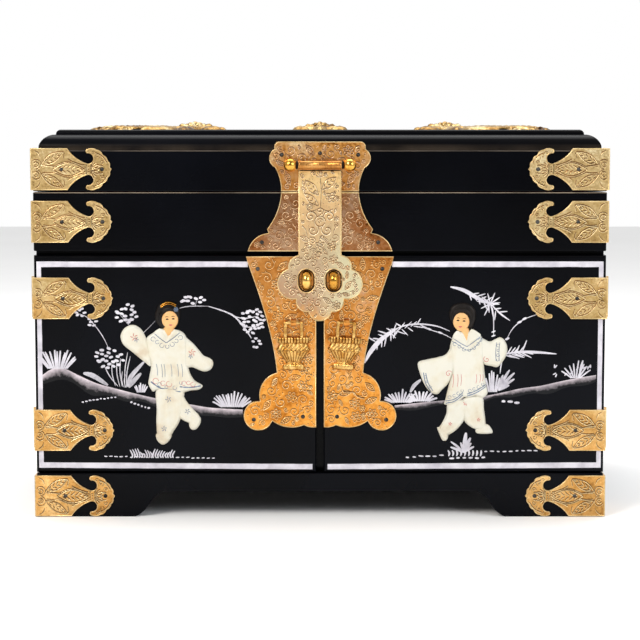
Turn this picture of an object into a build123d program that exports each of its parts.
# Lacquered jewelry chest with engraved brass mounts: a hinged lid over a lined tray,
# and two doors over four small drawers. Millimetres, +Z up, the front faces -Y, and the
# origin is on the floor under the middle of the whole object.

import os
from math import radians

from build123d import *

os.makedirs("parts", exist_ok=True)

# Carcass, outside sizes of each tier from the floor up
case_width = 300.0
case_depth = 190.0
base_height = 23.3
door_height = 114.9
tray_height = 30.8
rail_height = 21.2
moulding_height = 10.85

# Gaps between the tiers
base_gap = 0.5
tray_gap = 2.2
lid_gap = 0.5

# Boards
wall = 9.0
apron_wall = 12.0
floor_board = 6.0
back_board = 6.0
top_board = 6.0
partition_board = 8.0
shelf_board = 4.0
door_board = 10.0
edge_round = 1.5
edge_break = 0.6

# Bracket feet
arch_rise = 13.6
foot_front = 52.0
foot_side = 40.0
foot_slope = 15.0

# Lid moulding, stepped in from the case outline
moulding_inset = 3.0
band_height = 2.4
ovolo_width = 8.1
ovolo_height = 5.9
bead_width = 2.2

# Doors and their strap hinges
door_split = 4.0
door_back_gap = 0.5
door_open = 175.0
strap_inset = 22.5
strap_metal = 0.8
knuckle_radius = 1.7
knuckle_gap = 0.25
pin_stand = 0.2
pin_radius = 0.75
pin_clearance = 0.05

# Corner strap leaf
strap_height = 21.8
strap_body = 18.3
strap_neck = 28.5
strap_length = 41.5
strap_neck_half = 3.0
strap_nails_at = (15.2, 36.4)
base_strap_lift = 0.3
lid_strap_lift = 0.6

# Drawers behind the doors
drawer_recess = 10.0
drawer_travel_per_radian = 24.0
drawer_side_gap = 0.5
drawer_rest_gap = 0.3
drawer_top_gap = 0.8
drawer_front_board = 8.0
drawer_side_board = 5.0
drawer_bottom_board = 3.0
drawer_back_space = 3.5
drawer_lining = 1.2
knob_length = 8.0
knob_radius = 4.2
niche_height = 27.4

# Tray fittings
lining = 1.2
lining_drop = 2.0
divider_board = 3.0
divider_height = 24.0
ring_bay_width = 92.0
ring_rolls = 11
ring_roll_height = 21.0
ring_roll_gap = 0.4
soft_gap = 0.3
front_cell_depth = 92.0

# Mirror and lining in the lid
mirror_width = 226.0
mirror_depth = 118.0
mirror_glass = 2.0
lid_lining_sheet = 1.5

# Lock plates on the front
plate_metal = 0.9
lid_plate_rise = 4.6
plate_waist_half = 20.3
plate_ear_half = 26.2
plate_top_half = 21.7
plate_flare_half = 37.8
door_plate_height = 90.2
door_plate_top_gap = 0.5
door_plate_foot_circle = 7.8
door_plate_slant = (13.4, 45.0)
door_plate_waist = (15.9, 28.9)
tray_ear_drop = 24.6

# Hasp and its pin
rod_drop = 7.5
rod_stand = 3.6
rod_radius = 1.3
rod_span = 31.0
ball_radius = 3.5
barrel_radius = 2.3
barrel_length = 22.4
hasp_metal = 1.6
hasp_gap = 0.5
hasp_half_width = 11.2
hasp_head_half = 22.4
hasp_length = 81.5
slot_width = 8.4
slot_height = 12.0
slot_drop = 60.3
slot_offset = 7.1

# Lock staples and hanging pulls
staple_rise = 2.75
staple_radius = 2.55
pull_offset = 13.9
pull_pivot_drop = 34.6
pull_metal = 3.4
pull_rim_half = 8.6
pull_body_half = 8.8
pull_neck_half = 3.4
pull_foot_half = 5.4
pull_height = 26.0
pull_bar_radius = 0.9
pull_lug_width = 3.0
pull_stand = 2.5

# Nails and figures
nail_radius = 1.1
nail_rise = 0.6
lid_nail_drop = 6.8
tray_nail_inset = 7.4
tray_nail_lift = 4.7
door_nails_in = (5.2, 2.9)
door_nail_drop = 6.5
door_nail_lift = 4.0
foot_nail = (7.0, 5.6)
figure_thick = 1.8
figure_offset = 80.0

# Lid hinges at the back
butt_length = 40.0
butt_strap_gap = 3.5
butt_leaf = 14.0
butt_metal = 1.2
butt_knuckle = 2.4
butt_pin = 1.1

# Ornaments on the lid
spray_length = 77.0
spray_width = 62.0
spray_height = 4.7
spray_offset = 55.0
boss_radius = 16.0
boss_height = 4.7

# Derived levels
half_width = case_width / 2
door_bottom = base_height + base_gap
door_top = door_bottom + door_height
tray_bottom = door_top + tray_gap
tray_top = tray_bottom + tray_height
lid_bottom = tray_top + lid_gap
lid_rail_top = lid_bottom + rail_height
deck = lid_rail_top + moulding_height
case_floor_top = base_height + 0.2 + floor_board
case_ceiling = tray_bottom - top_board

# The chest is centred on its whole depth, from the ball finials to the hinge barrels
front_reach = plate_metal + rod_stand + ball_radius
back_reach = butt_knuckle * 2
front = (front_reach - back_reach - case_depth) / 2
back = front + case_depth
case_front = front + door_board + door_back_gap
plate_face = front - plate_metal

# Door pins stand just outside the corner, so that each door clears the case when it is open
pin_x = half_width + strap_metal + pin_stand
pin_y = front + door_board + door_back_gap / 2
strap_levels = (door_bottom + strap_inset, door_top - strap_inset)

# Drawer bays, from the partition out to the sides
bay_inner = partition_board / 2
bay_outer = half_width - wall
drawer_front_y = case_front + drawer_recess
drawer_back_y = back - back_board - drawer_back_space
bays_height = case_ceiling - niche_height - shelf_board - case_floor_top
row_height = (bays_height - shelf_board) / 2
row_floors = {"lower": case_floor_top, "upper": case_floor_top + row_height + shelf_board}
SIDES = {"left": -1, "right": 1}

FRONT_FACE = Plane(origin=(0, front, 0), x_dir=(1, 0, 0), z_dir=(0, -1, 0))
BACK_FACE = Plane(origin=(0, back, 0), x_dir=(-1, 0, 0), z_dir=(0, 1, 0))


def side_face(side):
    """The plane of a side of the case, seen from outside."""
    middle = (side * half_width, (front + back) / 2, 0)
    return Plane(origin=middle, x_dir=(0, side, 0), z_dir=(side, 0, 0))


def board(x0, x1, y0, y1, z0, z1):
    """A plain board between two corners, for use inside a part."""
    with Locations(((x0 + x1) / 2, (y0 + y1) / 2, (z0 + z1) / 2)):
        return Box(abs(x1 - x0), abs(y1 - y0), abs(z1 - z0))


def cap_radius(radius, height):
    """The radius of the ball that a round cap of this size is cut from."""
    return (radius**2 + height**2) / (2 * height)


def save(part, name):
    part.part.label = name
    export_step(part.part, f"parts/{name}.step")


# Base: four aprons with bracket feet, and the board that they carry
def apron_sketch(plane, half_length, foot):
    """The front view of an apron, with a foot at each end and the arch between them."""
    slope_mid = half_length - foot - foot_slope / 2
    with BuildSketch(plane) as face:
        with BuildLine():
            Polyline(
                (0, base_height),
                (half_length, base_height),
                (half_length, 0),
                (half_length - foot, 0),
            )
            RadiusArc((half_length - foot, 0), (slope_mid, arch_rise / 2), foot_slope)
            RadiusArc(
                (slope_mid, arch_rise / 2),
                (half_length - foot - foot_slope, arch_rise),
                -foot_slope,
            )
            Line((half_length - foot - foot_slope, arch_rise), (0, arch_rise))
            mirror(about=Plane.YZ)
        make_face()
    return face.sketch


for name, plane in {"apron_front": FRONT_FACE, "apron_back": BACK_FACE}.items():
    with BuildPart() as apron:
        extrude(apron_sketch(plane, half_width, foot_front), amount=-apron_wall)
        corners = apron.edges().filter_by(Axis.Z).group_by(Axis.Y)
        outer = corners[0] if name == "apron_front" else corners[-1]
        fillet(outer.group_by(Axis.X)[0] + outer.group_by(Axis.X)[-1], edge_round)
        rims = apron.edges().filter_by(Axis.X).group_by(Axis.Z)[-1].sort_by(Axis.Y)
        fillet(rims[0] if name == "apron_front" else rims[-1], edge_break)
    save(apron, name)

apron_side_half = case_depth / 2 - apron_wall
with BuildPart() as apron_sides:
    for side in SIDES.values():
        sketch = apron_sketch(side_face(side), apron_side_half, foot_side - apron_wall)
        extrude(sketch, amount=-apron_wall)
save(apron_sides, "apron_sides")

with BuildPart() as base_board:
    board(
        -half_width + apron_wall,
        half_width - apron_wall,
        front + apron_wall,
        back - apron_wall,
        base_height - floor_board,
        base_height,
    )
save(base_board, "base_board")

# Case: floor, sides, back, partition, shelves and top
with BuildPart() as case_floor:
    board(-half_width, half_width, case_front, back, base_height, case_floor_top)
save(case_floor, "case_floor")


def hinge_clearance(side):
    """Room for the knuckles in the corner of a board, cut along the door's pin."""
    for level in strap_levels:
        with Locations((side * pin_x, pin_y, level)):
            Cylinder(
                knuckle_radius + knuckle_gap,
                strap_height + 2 * knuckle_gap,
                mode=Mode.SUBTRACT,
            )


for name, side in SIDES.items():
    with BuildPart() as case_side:
        board(
            side * half_width,
            side * bay_outer,
            case_front,
            back,
            case_floor_top,
            case_ceiling,
        )
        hinge_clearance(side)
    save(case_side, f"case_side_{name}")

with BuildPart() as case_back:
    board(-bay_outer, bay_outer, back - back_board, back, case_floor_top, case_ceiling)
save(case_back, "case_back")

with BuildPart() as case_partition:
    board(
        -bay_inner,
        bay_inner,
        case_front,
        back - back_board,
        case_floor_top,
        case_ceiling,
    )
save(case_partition, "case_partition")

with BuildPart() as drawer_shelves:
    for side in SIDES.values():
        for row in (1, 2):
            top = case_floor_top + row * (row_height + shelf_board)
            board(
                side * bay_inner,
                side * bay_outer,
                case_front + edge_round,
                back - back_board,
                top - shelf_board,
                top,
            )
save(drawer_shelves, "drawer_shelves")

with BuildPart() as case_top:
    board(-half_width, half_width, case_front, back, case_ceiling, tray_bottom)
save(case_top, "case_top")


# Drawers
def drawer_body(side, floor):
    """Front, sides, back and bottom boards of one drawer."""
    inner = bay_inner + drawer_side_gap
    outer = bay_outer - drawer_side_gap
    low = floor + drawer_rest_gap
    high = floor + row_height - drawer_top_gap
    box_front = drawer_front_y + drawer_front_board
    box_back = drawer_back_y - drawer_side_board
    panel = board(side * inner, side * outer, drawer_front_y, box_front, low, high)
    fillet(panel.faces().sort_by(Axis.Y)[0].edges(), 1.0)
    for edge, step in ((inner, 1), (outer, -1)):
        board(
            side * edge,
            side * (edge + step * drawer_side_board),
            box_front,
            drawer_back_y,
            low,
            high,
        )
    within = (side * (inner + drawer_side_board), side * (outer - drawer_side_board))
    board(*within, box_back, drawer_back_y, low, high)
    board(*within, box_front, box_back, low, low + drawer_bottom_board)
    return inner + drawer_side_board, outer - drawer_side_board, low + drawer_bottom_board


for row, floor in row_floors.items():
    for hand, side in SIDES.items():
        name = f"drawer_{row}_{hand}"
        with BuildPart() as drawer:
            cell_inner, cell_outer, cell_floor = drawer_body(side, floor)
        save(drawer, name)

        with BuildPart() as drawer_pad:
            board(
                side * (cell_inner + soft_gap),
                side * (cell_outer - soft_gap),
                drawer_front_y + drawer_front_board + soft_gap,
                drawer_back_y - drawer_side_board - soft_gap,
                cell_floor,
                cell_floor + drawer_lining,
            )
        save(drawer_pad, f"{name}_lining")

        knob_x = side * (bay_inner + bay_outer) / 2
        knob_z = floor + row_height / 2
        knob_plane = Plane(
            origin=(knob_x, drawer_front_y, knob_z), x_dir=(1, 0, 0), z_dir=(0, 0, 1)
        )
        with BuildPart() as knob:
            with BuildSketch(knob_plane):
                with BuildLine():
                    Polyline(
                        (0, 0),
                        (knob_radius * 0.75, 0),
                        (knob_radius * 0.75, -knob_length * 0.12),
                        (knob_radius * 0.35, -knob_length * 0.22),
                        (knob_radius * 0.35, -knob_length * 0.45),
                    )
                    ThreePointArc(
                        (knob_radius * 0.35, -knob_length * 0.45),
                        (knob_radius, -knob_length * 0.72),
                        (knob_radius * 0.4, -knob_length),
                    )
                    Polyline((knob_radius * 0.4, -knob_length), (0, -knob_length), (0, 0))
                make_face()
            revolve(axis=Axis(knob_plane.origin, (0, 1, 0)))
        save(knob, f"{name}_knob")

# Tray tier: four walls, the lining, the ring pad and the dividers
tray_in_x = half_width - wall
tray_in_front = front + wall
tray_in_back = back - wall
lined_x = tray_in_x - lining
lined_front = tray_in_front + lining
lined_back = tray_in_back - lining
lined_floor = tray_bottom + lining


def frame_boards(low, high):
    """Four boards of one tier: the front and back run full width, the sides stand between."""
    for y0, y1, outside in ((front, front + wall, 0), (back - wall, back, -1)):
        long_board = board(-half_width, half_width, y0, y1, low, high)
        face = long_board.faces().sort_by(Axis.Y)[outside]
        upright = face.edges().filter_by(Axis.Z)
        fillet(upright, edge_round)
    for side in SIDES.values():
        board(side * tray_in_x, side * half_width, tray_in_front, tray_in_back, low, high)


def break_edges(tier):
    """Rounds the upper and lower outside edges of a tier, all the way round."""
    lengthwise = tier.edges().filter_by(Axis.X).group_by(Axis.Z)
    for level in (0, -1):
        fillet(lengthwise[level].sort_by(Axis.Y)[0], edge_break)


with BuildPart() as tray_walls:
    frame_boards(tray_bottom, tray_top)
    break_edges(tray_walls)
save(tray_walls, "tray_walls")

with BuildPart() as tray_lining:
    board(-tray_in_x, tray_in_x, tray_in_front, tray_in_back, tray_bottom, tray_top - lining_drop)
    with Locations((0, (lined_front + lined_back) / 2, lined_floor)):
        Box(
            2 * lined_x,
            lined_back - lined_front,
            tray_height,
            align=(Align.CENTER, Align.CENTER, Align.MIN),
            mode=Mode.SUBTRACT,
        )
save(tray_lining, "tray_lining")

divider_x = -lined_x + ring_bay_width
cross_y = lined_front + front_cell_depth
with BuildPart() as tray_dividers:
    board(
        divider_x,
        divider_x + divider_board,
        lined_front,
        lined_back,
        lined_floor,
        lined_floor + divider_height,
    )
    board(
        divider_x + divider_board,
        lined_x,
        cross_y,
        cross_y + divider_board,
        lined_floor,
        lined_floor + divider_height,
    )
save(tray_dividers, "tray_dividers")

roll_pitch = (lined_back - lined_front - 2 * soft_gap) / ring_rolls
roll_radius = (roll_pitch - ring_roll_gap) / 2
with BuildPart() as ring_pad:
    pad_plane = Plane(
        origin=(-lined_x + soft_gap, lined_front + soft_gap, lined_floor),
        x_dir=(0, 1, 0),
        z_dir=(1, 0, 0),
    )
    with BuildSketch(pad_plane):
        with Locations((roll_pitch * ring_rolls / 2, ring_roll_height * 0.2)):
            Rectangle(roll_pitch * ring_rolls, ring_roll_height * 0.4)
        for count in range(ring_rolls):
            with Locations((roll_pitch * (count + 0.5), ring_roll_height - roll_radius)):
                Circle(roll_radius)
            with Locations((roll_pitch * (count + 0.5), (ring_roll_height - roll_radius) / 2)):
                Rectangle(2 * roll_radius, ring_roll_height - roll_radius)
    extrude(amount=ring_bay_width - 2 * soft_gap)
save(ring_pad, "ring_pad")

# Lid: rails, moulded top, lining and mirror
with BuildPart() as lid_rails:
    frame_boards(lid_bottom, lid_rail_top)
    break_edges(lid_rails)
save(lid_rails, "lid_rails")


def moulding_profile(plane, half):
    """The whole cross-section of the lid's top, from edge to edge."""
    edge = half - moulding_inset
    band_top = lid_rail_top + band_height
    step = edge - ovolo_width
    step_top = band_top + ovolo_height
    bead = deck - step_top
    with BuildSketch(plane) as face:
        with BuildLine():
            Polyline((0, lid_rail_top), (edge, lid_rail_top), (edge, band_top))
            ThreePointArc(
                (edge, band_top),
                (edge - ovolo_width * 0.28, band_top + ovolo_height * 0.62),
                (step, step_top),
            )
            ThreePointArc(
                (step, step_top),
                (step - bead_width * 0.3, step_top + bead * 0.7),
                (step - bead_width, deck),
            )
            Line((step - bead_width, deck), (0, deck))
            mirror(about=Plane.YZ)
        make_face()
    return face.sketch


with BuildPart() as lid_top:
    extrude(moulding_profile(FRONT_FACE, half_width), amount=-case_depth)
    cross = Plane(origin=(-half_width, (front + back) / 2, 0), x_dir=(0, 1, 0), z_dir=(1, 0, 0))
    extrude(moulding_profile(cross, case_depth / 2), amount=case_width, mode=Mode.INTERSECT)
save(lid_top, "lid_top")

middle_y = (front + back) / 2
with BuildPart() as lid_lining:
    board(
        -tray_in_x + soft_gap,
        tray_in_x - soft_gap,
        tray_in_front + soft_gap,
        tray_in_back - soft_gap,
        lid_rail_top - lid_lining_sheet,
        lid_rail_top,
    )
    with Locations((0, middle_y, lid_rail_top)):
        Box(
            mirror_width + 2 * soft_gap,
            mirror_depth + 2 * soft_gap,
            4 * lid_lining_sheet,
            mode=Mode.SUBTRACT,
        )
save(lid_lining, "lid_lining")

with BuildPart() as lid_mirror:
    with Locations((0, middle_y, lid_rail_top - mirror_glass / 2)):
        Box(mirror_width, mirror_depth, mirror_glass)
    chamfer(lid_mirror.faces().sort_by(Axis.Z)[0].edges(), mirror_glass * 0.3)
save(lid_mirror, "lid_mirror")


# Ornaments on the deck: a spray of leaves from a blossom on each side, and a boss between
def dome(x, y, radius, height):
    """A round raised button on the deck."""
    upright = Plane(origin=(x, y, deck), x_dir=(1, 0, 0), z_dir=(0, -1, 0))
    with BuildSketch(upright) as profile:
        with BuildLine():
            Line((0, 0), (radius, 0))
            RadiusArc((radius, 0), (0, height), -cap_radius(radius, height))
            Line((0, height), (0, 0))
        make_face()
    revolve(profile.sketch, axis=Axis((x, y, deck), (0, 0, 1)))


def deck_leaf(x, y, angle, length, width, height):
    """A flat leaf on the deck from its root at x, y, pointed at both ends."""
    spot = Plane(origin=(x, y, deck), z_dir=(0, 0, 1)).rotated((0, 0, angle))
    with BuildSketch(spot) as leaf:
        with BuildLine():
            ThreePointArc((0, 0), (length * 0.45, width / 2), (length, 0))
            ThreePointArc((length, 0), (length * 0.45, -width / 2), (0, 0))
        make_face()
    extrude(leaf.sketch, amount=height)


SPRAY_LEAVES = {0: 1.0, 24: 0.86, -24: 0.86, 52: 0.6, -52: 0.6, 90: 0.46, -90: 0.46}
with BuildPart() as lid_carvings:
    for side in SIDES.values():
        root_x = side * (spray_offset + boss_radius)
        heading = 0 if side > 0 else 180
        dome(root_x, middle_y, boss_radius * 0.95, spray_height)
        for turn, share in SPRAY_LEAVES.items():
            deck_leaf(
                root_x,
                middle_y,
                heading + side * turn,
                (spray_length - boss_radius) * share,
                spray_width * 0.2,
                spray_height * 0.45,
            )
    dome(0, middle_y, boss_radius, boss_height)
    for turn in range(0, 360, 45):
        deck_leaf(0, middle_y, turn, boss_radius * 1.25, boss_radius * 0.5, boss_height * 0.4)
save(lid_carvings, "lid_carvings")


# Corner straps: one leaf outline, folded round the corner
def leaf_sketch(plane, root):
    """The strap's leaf, along the plane's own x. root is how far it reaches back past the corner."""
    half = strap_height / 2
    horn = strap_neck
    tip = strap_length
    inside = (horn + 0.4, half * 0.76)
    crest = (horn + 0.6, half * 0.97)
    rim = [(tip - 7.8, half * 0.93), (tip - 4.6, half * 0.68), (tip - 2.1, half * 0.4)]
    rim.append((tip - 1.0, half * 0.11))
    swell = [(tip - 5.6, half * 0.84), (tip - 2.8, half * 0.57), (tip - 0.9, half * 0.27)]
    with BuildSketch(plane) as face:
        with BuildLine():
            Polyline((-root, 0), (-root, half), (strap_body, half))
            ThreePointArc(
                (strap_body, half),
                (strap_body + (horn - strap_body) * 0.52, half * 0.5),
                (horn, strap_neck_half),
            )
            ThreePointArc((horn, strap_neck_half), (horn + 3.4, half * 0.56), inside)
            ThreePointArc(inside, (horn - 0.5, half * 0.86), crest)
            ThreePointArc(crest, (horn + 3.2, half), rim[0])
            for start, middle, end in zip(rim, swell, rim[1:]):
                ThreePointArc(start, middle, end)
            Line(rim[-1], (tip, 0))
            mirror(about=Plane.XZ)
        make_face()
    return face.sketch


def add_leaf(x, y, z, along, out, root=0.0):
    """One leaf on a face of the chest. along points away from the corner, out off the face."""
    normal = Vector(*along).cross(Vector(0, 0, 1))
    plane = Plane(origin=(x, y, z), x_dir=along, z_dir=normal)
    lift = strap_metal if normal.dot(Vector(*out)) > 0 else -strap_metal
    extrude(leaf_sketch(plane, root), amount=lift)


def corner_straps(level):
    """Straps round all four upright corners of one tier, at one level."""
    for side in SIDES.values():
        for y, inward in ((front, 1), (back, -1)):
            add_leaf(side * half_width, y, level, (-side, 0, 0), (0, -inward, 0), strap_metal)
            add_leaf(side * half_width, y, level, (0, inward, 0), (side, 0, 0))


tier_levels = {
    "base": base_strap_lift + strap_height / 2,
    "tray": (tray_bottom + tray_top) / 2,
    "lid": lid_bottom + lid_strap_lift + strap_height / 2,
}
for tier, level in tier_levels.items():
    with BuildPart() as straps:
        corner_straps(level)
    save(straps, f"{tier}_corner_straps")

# Door strap hinges: the door's knuckle is the middle one of three
knuckle_length = strap_height / 3


def knuckles(side, level, mine, theirs):
    """Cuts room for the other leaf's knuckles, and adds this leaf's own with a bored hole."""
    for step in theirs:
        with Locations((side * pin_x, pin_y, level + step * knuckle_length)):
            Cylinder(
                knuckle_radius + knuckle_gap, knuckle_length + knuckle_gap, mode=Mode.SUBTRACT
            )
    for step in mine:
        with Locations((side * pin_x, pin_y, level + step * knuckle_length)):
            Cylinder(knuckle_radius, knuckle_length - knuckle_gap)
    with Locations((side * pin_x, pin_y, level)):
        Cylinder(pin_radius + pin_clearance, strap_height + 2, mode=Mode.SUBTRACT)


for name, side in SIDES.items():
    with BuildPart() as door_straps:
        for level in strap_levels:
            add_leaf(side * half_width, front, level, (-side, 0, 0), (0, -1, 0), strap_metal)
            board(
                side * half_width,
                side * (half_width + strap_metal),
                front,
                pin_y - knuckle_gap,
                level - strap_height / 2,
                level + strap_height / 2,
            )
            knuckles(side, level, (0,), (-1, 1))
    save(door_straps, f"door_{name}_straps")

with BuildPart() as case_hinge_leaves:
    for side in SIDES.values():
        for level in strap_levels:
            add_leaf(side * half_width, pin_y + knuckle_gap, level, (0, 1, 0), (side, 0, 0))
            knuckles(side, level, (-1, 1), (0,))
save(case_hinge_leaves, "case_hinge_leaves")

# Butt hinges of the lid, on the back
butt_y = back + butt_knuckle
butt_z = (tray_top + lid_bottom) / 2
butt_third = butt_length / 3
butt_offset = half_width - strap_length - butt_strap_gap - butt_length / 2


def butt_leaves(up, mine, theirs):
    """The leaves of both lid hinges on one side of the split, with their knuckles."""
    for side in SIDES.values():
        x = side * butt_offset
        board(
            x - butt_length / 2,
            x + butt_length / 2,
            back,
            back + butt_metal,
            butt_z + up * lid_gap,
            butt_z + up * butt_leaf,
        )
        for step in theirs:
            with Locations(Location((x + step * butt_third, butt_y, butt_z), (0, 90, 0))):
                Cylinder(
                    butt_knuckle + knuckle_gap, butt_third + knuckle_gap, mode=Mode.SUBTRACT
                )
        for step in mine:
            with Locations(Location((x + step * butt_third, butt_y, butt_z), (0, 90, 0))):
                Cylinder(butt_knuckle, butt_third - knuckle_gap)
        with Locations(Location((x, butt_y, butt_z), (0, 90, 0))):
            Cylinder(butt_pin + pin_clearance, butt_length + 2, mode=Mode.SUBTRACT)


with BuildPart() as lid_hinge_tray_leaves:
    butt_leaves(-1, (-1, 1), (0,))
save(lid_hinge_tray_leaves, "lid_hinge_tray_leaves")

with BuildPart() as lid_hinge_lid_leaves:
    butt_leaves(1, (0,), (-1, 1))
save(lid_hinge_lid_leaves, "lid_hinge_lid_leaves")

with BuildPart() as hinge_pins:
    for side in SIDES.values():
        for level in strap_levels:
            with Locations((side * pin_x, pin_y, level)):
                Cylinder(pin_radius, strap_height)
        with Locations(Location((side * butt_offset, butt_y, butt_z), (0, 90, 0))):
            Cylinder(butt_pin, butt_length)
save(hinge_pins, "hinge_pins")

# Lock plates: one flared outline, split at the lid and at the tray
lid_plate_top = lid_rail_top + lid_plate_rise
door_plate_top = door_top - door_plate_top_gap


with BuildPart() as lid_plate:
    with BuildSketch(FRONT_FACE):
        with BuildLine():
            Line((0, lid_plate_top), (plate_top_half - 1, lid_plate_top))
            ThreePointArc(
                (plate_top_half - 1, lid_plate_top),
                (plate_top_half + 1.4, lid_plate_top - 0.9),
                (plate_ear_half - 2.6, lid_plate_top - 3.8),
            )
            ThreePointArc(
                (plate_ear_half - 2.6, lid_plate_top - 3.8),
                (plate_ear_half, lid_plate_top - 7.0),
                (plate_ear_half - 2.8, lid_plate_top - 13.4),
            )
            ThreePointArc(
                (plate_ear_half - 2.8, lid_plate_top - 13.4),
                ((plate_waist_half + plate_ear_half) / 2 - 2.0, lid_plate_top - 18.5),
                (plate_waist_half, lid_bottom),
            )
            Line((plate_waist_half, lid_bottom), (0, lid_bottom))
            mirror(about=Plane.YZ)
        make_face()
    extrude(amount=plate_metal)
save(lid_plate, "lid_plate")

flare_notch = plate_flare_half - 10.6
with BuildPart() as tray_plate:
    with BuildSketch(FRONT_FACE):
        with BuildLine():
            Line((0, tray_top), (plate_waist_half, tray_top))
            ThreePointArc(
                (plate_waist_half, tray_top),
                ((plate_waist_half + flare_notch) / 2 - 0.9, tray_top - 11.0),
                (flare_notch + 0.5, tray_top - 19.2),
            )
            Line((flare_notch + 0.5, tray_top - 19.2), (flare_notch - 0.4, tray_top - 21.3))
            ThreePointArc(
                (flare_notch - 0.4, tray_top - 21.3),
                (plate_flare_half - 3.4, tray_top - tray_ear_drop),
                (plate_flare_half, tray_bottom),
            )
            Line((plate_flare_half, tray_bottom), (0, tray_bottom))
            mirror(about=Plane.YZ)
        make_face()
    extrude(amount=plate_metal)
save(tray_plate, "tray_plate")


def door_plate_sketch(side):
    """The door's half of the lock plate, slanting in and then out to its lobed foot."""
    low = door_plate_top - door_plate_height
    edge = door_split / 2
    wide = plate_flare_half + 0.8
    slant_in, slant_drop = door_plate_slant
    waist_in, waist_lift = door_plate_waist
    with BuildSketch(FRONT_FACE) as face:
        with BuildLine():
            Line((side * edge, door_plate_top), (side * wide, door_plate_top))
            Line((side * wide, door_plate_top), (side * (wide - 0.8), door_plate_top - 3.5))
            Spline(
                (side * (wide - 0.8), door_plate_top - 3.5),
                (side * (wide - 6.2), door_plate_top - 19.0),
                (side * (wide - slant_in), door_plate_top - slant_drop),
                (side * (wide - waist_in), low + waist_lift),
            )
            ThreePointArc(
                (side * (wide - waist_in), low + waist_lift),
                (side * (wide - 8.6), low + 23.8),
                (side * (wide - 7.0), low + 13.8),
            )
            ThreePointArc(
                (side * (wide - 7.0), low + 13.8),
                (side * (wide - 6.2 + door_plate_foot_circle), low + 5.2),
                (side * (wide - 13.4), low + 3.3),
            )
            ThreePointArc(
                (side * (wide - 13.4), low + 3.3),
                (side * (wide - 21.1), low),
                (side * (edge + 6.4), low + 1.1),
            )
            ThreePointArc(
                (side * (edge + 6.4), low + 1.1), (side * (edge + 3.5), low), (side * edge, low)
            )
            Line((side * edge, low), (side * edge, door_plate_top))
        make_face()
    return face.sketch


pull_y = plate_face - pull_stand
pull_z = door_plate_top - pull_pivot_drop
for name, side in SIDES.items():
    with BuildPart() as door_plate:
        extrude(door_plate_sketch(side), amount=plate_metal)
        board(
            side * pull_offset - pull_lug_width / 2,
            side * pull_offset + pull_lug_width / 2,
            plate_face,
            pull_y,
            pull_z - 2.0,
            pull_z + 2.0,
        )
        with Locations(Location((side * pull_offset, pull_y, pull_z), (0, 90, 0))):
            Cylinder(2.0, pull_lug_width)
            Cylinder(pull_bar_radius + 0.1, pull_lug_width + 2, mode=Mode.SUBTRACT)
    save(door_plate, f"door_plate_{name}")

# Hasp: a strap that ends in a cloud-shaped head with two slots, hung on a barrel
rod_y = plate_face - rod_stand
rod_z = lid_rail_top - rod_drop
hasp_back = plate_face - hasp_gap
slot_z = rod_z - slot_drop
hasp_tip = rod_z - hasp_length
with BuildPart() as hasp:
    with BuildSketch(Plane(origin=(0, hasp_back, 0), x_dir=(1, 0, 0), z_dir=(0, -1, 0))):
        with BuildLine():
            neck_z = slot_z + 13.4
            Line((0, rod_z), (hasp_half_width, rod_z))
            Line((hasp_half_width, rod_z), (hasp_half_width, neck_z))
            ThreePointArc(
                (hasp_half_width, neck_z),
                (hasp_half_width + 4.0, slot_z + 11.2),
                (hasp_head_half - 5.7, slot_z + 6.1),
            )
            ThreePointArc(
                (hasp_head_half - 5.7, slot_z + 6.1),
                (hasp_head_half, slot_z - 1.2),
                (hasp_head_half - 9.9, slot_z - 9.6),
            )
            ThreePointArc(
                (hasp_head_half - 9.9, slot_z - 9.6),
                (hasp_head_half - 11.2, slot_z - 14.6),
                (hasp_head_half - 16.3, hasp_tip + 4.8),
            )
            ThreePointArc(
                (hasp_head_half - 16.3, hasp_tip + 4.8),
                (hasp_head_half - 18.6, hasp_tip + 1.2),
                (0, hasp_tip),
            )
            mirror(about=Plane.YZ)
        make_face()
        with Locations((-slot_offset, slot_z), (slot_offset, slot_z)):
            SlotOverall(slot_height, slot_width, rotation=90, mode=Mode.SUBTRACT)
    extrude(amount=hasp_metal)
    with Locations(Location((0, rod_y, rod_z), (0, 90, 0))):
        Cylinder(barrel_radius, barrel_length)
        Cylinder(rod_radius + pin_clearance, barrel_length + 2, mode=Mode.SUBTRACT)
save(hasp, "hasp")

with BuildPart() as hasp_pin:
    with Locations(Location((0, rod_y, rod_z), (0, 90, 0))):
        Cylinder(rod_radius, rod_span)
    for side in SIDES.values():
        with Locations((side * rod_span / 2, rod_y, rod_z)):
            Sphere(ball_radius)
        with Locations(
            Location((side * rod_span / 2, (rod_y + plate_face) / 2, rod_z), (90, 0, 0))
        ):
            Cylinder(ball_radius * 0.45, rod_stand)
save(hasp_pin, "hasp_pin")

# Lock staples: a half ring on each door that stands through a slot of the hasp
for name, side in SIDES.items():
    with BuildPart() as staple:
        spot = (side * slot_offset, plate_face, slot_z)
        with Locations(Location(spot, (0, 90, 0))):
            Torus(staple_rise, staple_radius)
        with Locations(spot):
            Box(
                4 * staple_rise,
                4 * staple_rise,
                6 * staple_rise,
                align=(Align.CENTER, Align.MIN, Align.CENTER),
                mode=Mode.SUBTRACT,
            )
    save(staple, f"staple_{name}")

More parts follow.
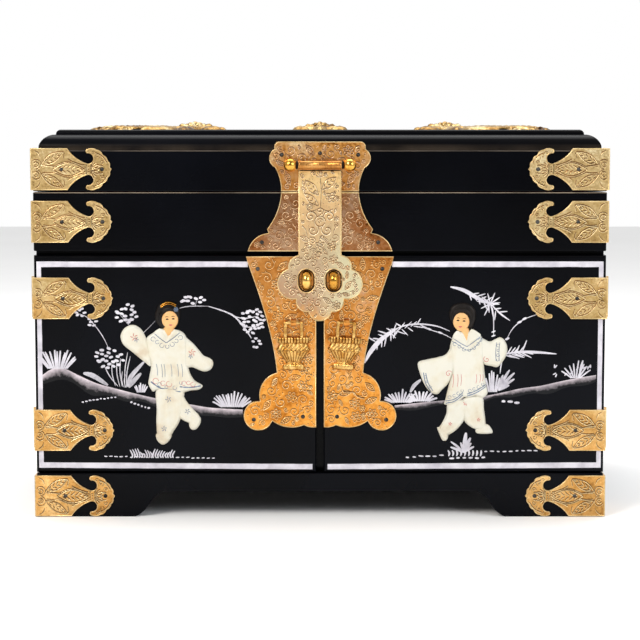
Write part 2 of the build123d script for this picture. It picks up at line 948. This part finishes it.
# Pulls: an openwork vase on a square bail, hung in the lug of the door plate
bail_drop = pull_height * 0.29
for name, side in SIDES.items():
    cx = side * pull_offset
    top = pull_z - bail_drop
    foot = pull_z + pull_bar_radius - pull_height
    with BuildPart() as pull:
        pull_back = Plane(
            origin=(cx, plate_face - hasp_gap, 0), x_dir=(1, 0, 0), z_dir=(0, -1, 0)
        )
        with BuildSketch(pull_back):
            with BuildLine():
                Polyline(
                    (0, top),
                    (pull_rim_half, top),
                    (pull_rim_half, top - 3.0),
                    (pull_body_half - 1.8, top - 3.4),
                    (pull_body_half, top - 7.2),
                    (pull_neck_half, foot + 5.6),
                    (pull_neck_half, foot + 4.4),
                    (pull_foot_half, foot + 2.6),
                    (pull_foot_half, foot),
                    (0, foot),
                )
                mirror(about=Plane.YZ)
            make_face()
        extrude(amount=pull_metal)
        chamfer(pull.faces().sort_by(Axis.Y)[0].edges(), 0.5)
        with Locations(Location((cx, pull_y, pull_z), (0, 90, 0))):
            Cylinder(pull_bar_radius, pull_foot_half * 2 - 1.2)
        for step in (-1, 1):
            with Locations((cx + step * (pull_foot_half - 1.5), pull_y, (pull_z + top) / 2)):
                Cylinder(pull_bar_radius, bail_drop + 1.0)
    save(pull, f"pull_{name}")

# Door panels
for name, side in SIDES.items():
    with BuildPart() as door_panel:
        board(
            side * door_split / 2,
            side * half_width,
            front,
            front + door_board,
            door_bottom,
            door_top,
        )
        fillet(door_panel.faces().sort_by(Axis.Y)[0].edges(), edge_round)
        hinge_clearance(side)
    save(door_panel, f"door_panel_{name}")


# Applied figures: flat carvings in a jacket and trousers, rounded by their outlines
def garment(points, thick):
    """A smooth closed outline raised off the door."""
    with BuildSketch(FRONT_FACE) as shape:
        with BuildLine():
            Spline(*points, periodic=True)
        make_face()
    extrude(shape.sketch, amount=thick)


FIGURES = {
    "left": {
        "head": (1.0, 27.0, 5.6),
        "jacket": [
            (-3.5, 20.8),
            (-10.0, 19.6),
            (-17.5, 22.2),
            (-24.6, 17.6),
            (-22.4, 10.4),
            (-14.0, 9.0),
            (-9.4, 2.0),
            (-10.2, -6.6),
            (0.0, -12.6),
            (9.0, -13.6),
            (18.4, -10.2),
            (11.0, 0.0),
            (18.6, -2.0),
            (23.4, -0.4),
            (22.4, 5.2),
            (15.6, 9.4),
            (8.0, 18.2),
            (4.0, 20.8),
        ],
        "near_leg": [(-6, -10), (1.6, -12), (1, -26), (-3.2, -40.6), (-6.8, -41), (-7, -26)],
        "far_leg": [(3, -11), (9.6, -13.2), (14.6, -22.6), (17.2, -27.2), (12.6, -33.6), (7, -26)],
    },
    "right": {
        "head": (-6.4, 26.0, 5.6),
        "jacket": [
            (-8.4, 19.6),
            (-12.6, 14.0),
            (-18.4, 4.8),
            (-27.6, 2.4),
            (-26.4, -8.6),
            (-20.6, -13.4),
            (-13.6, -9.4),
            (-14.4, -18.0),
            (-4.4, -16.6),
            (8.0, -14.2),
            (8.6, -3.0),
            (13.8, 1.2),
            (18.0, 5.4),
            (17.8, 10.4),
            (14.0, 14.6),
            (8.8, 13.6),
            (3.8, 18.6),
            (-2.4, 20.4),
        ],
        "near_leg": [(-13.6, -16), (-4.6, -16), (-7, -25), (-14, -37.6), (-19.2, -37), (-14.6, -25)],
        "far_leg": [(-2.4, -15.4), (7, -13.6), (7.4, -24), (11.2, -33.6), (4.6, -36), (0.6, -25)],
    },
}
for name, side in SIDES.items():
    shape = FIGURES[name]
    place = Vector(side * figure_offset, (door_bottom + door_top) / 2)
    with BuildPart() as figure:
        for piece, thick in (("near_leg", 0.8), ("far_leg", 0.7), ("jacket", 1.0)):
            outline = [(place.X + x, place.Y + z) for x, z in shape[piece]]
            garment(outline, figure_thick * thick)
        head_x, head_z, head_radius = shape["head"]
        with BuildSketch(FRONT_FACE):
            with Locations((place.X + head_x, place.Y + head_z)):
                Ellipse(head_radius, head_radius * 1.15)
        extrude(amount=figure_thick)
    save(figure, f"figure_{name}")

# Nails: small domed heads on the plates and straps
def nails(spots, face_y):
    """Domed nail heads on the front, at x, z spots."""
    for x, z in spots:
        level_plane = Plane(origin=(x, face_y, z), x_dir=(1, 0, 0), z_dir=(0, 0, 1))
        with BuildSketch(level_plane) as profile:
            with BuildLine():
                Line((0, 0), (nail_radius, 0))
                RadiusArc((nail_radius, 0), (0, -nail_rise), cap_radius(nail_radius, nail_rise))
                Line((0, -nail_rise), (0, 0))
            make_face()
        revolve(profile.sketch, axis=Axis((x, face_y, z), (0, 1, 0)))


def strap_nails(level):
    nails(
        [(side * (half_width - u), level) for side in SIDES.values() for u in strap_nails_at],
        front - strap_metal,
    )


with BuildPart() as lid_nails:
    strap_nails(tier_levels["lid"])
    nail_line = lid_plate_top - lid_nail_drop
    spots = [(side * (plate_top_half - 1.8), nail_line) for side in SIDES.values()]
    nails([*spots, (0, nail_line + 0.8)], plate_face)
save(lid_nails, "lid_nails")

with BuildPart() as case_nails:
    strap_nails(tier_levels["tray"])
    strap_nails(tier_levels["base"])
    nail_x = plate_flare_half - tray_nail_inset
    spots = [(side * nail_x, tray_bottom + tray_nail_lift) for side in SIDES.values()]
    nails(spots, plate_face)
save(case_nails, "case_nails")

for name, side in SIDES.items():
    with BuildPart() as door_nails:
        for level in strap_levels:
            nails([(side * (half_width - u), level) for u in strap_nails_at], front - strap_metal)
        low = door_plate_top - door_plate_height
        nails(
            [
                (side * (plate_flare_half - door_nails_in[0]), door_plate_top - door_nail_drop),
                (side * (plate_flare_half - door_nails_in[1]), low + door_nail_lift),
                (side * (door_split / 2 + foot_nail[0]), low + foot_nail[1]),
            ],
            plate_face,
        )
    save(door_nails, f"door_{name}_nails")

print("whole depth", front_reach + case_depth + back_reach)
print("drawer travel at a fully open door", drawer_travel_per_radian * radians(door_open))
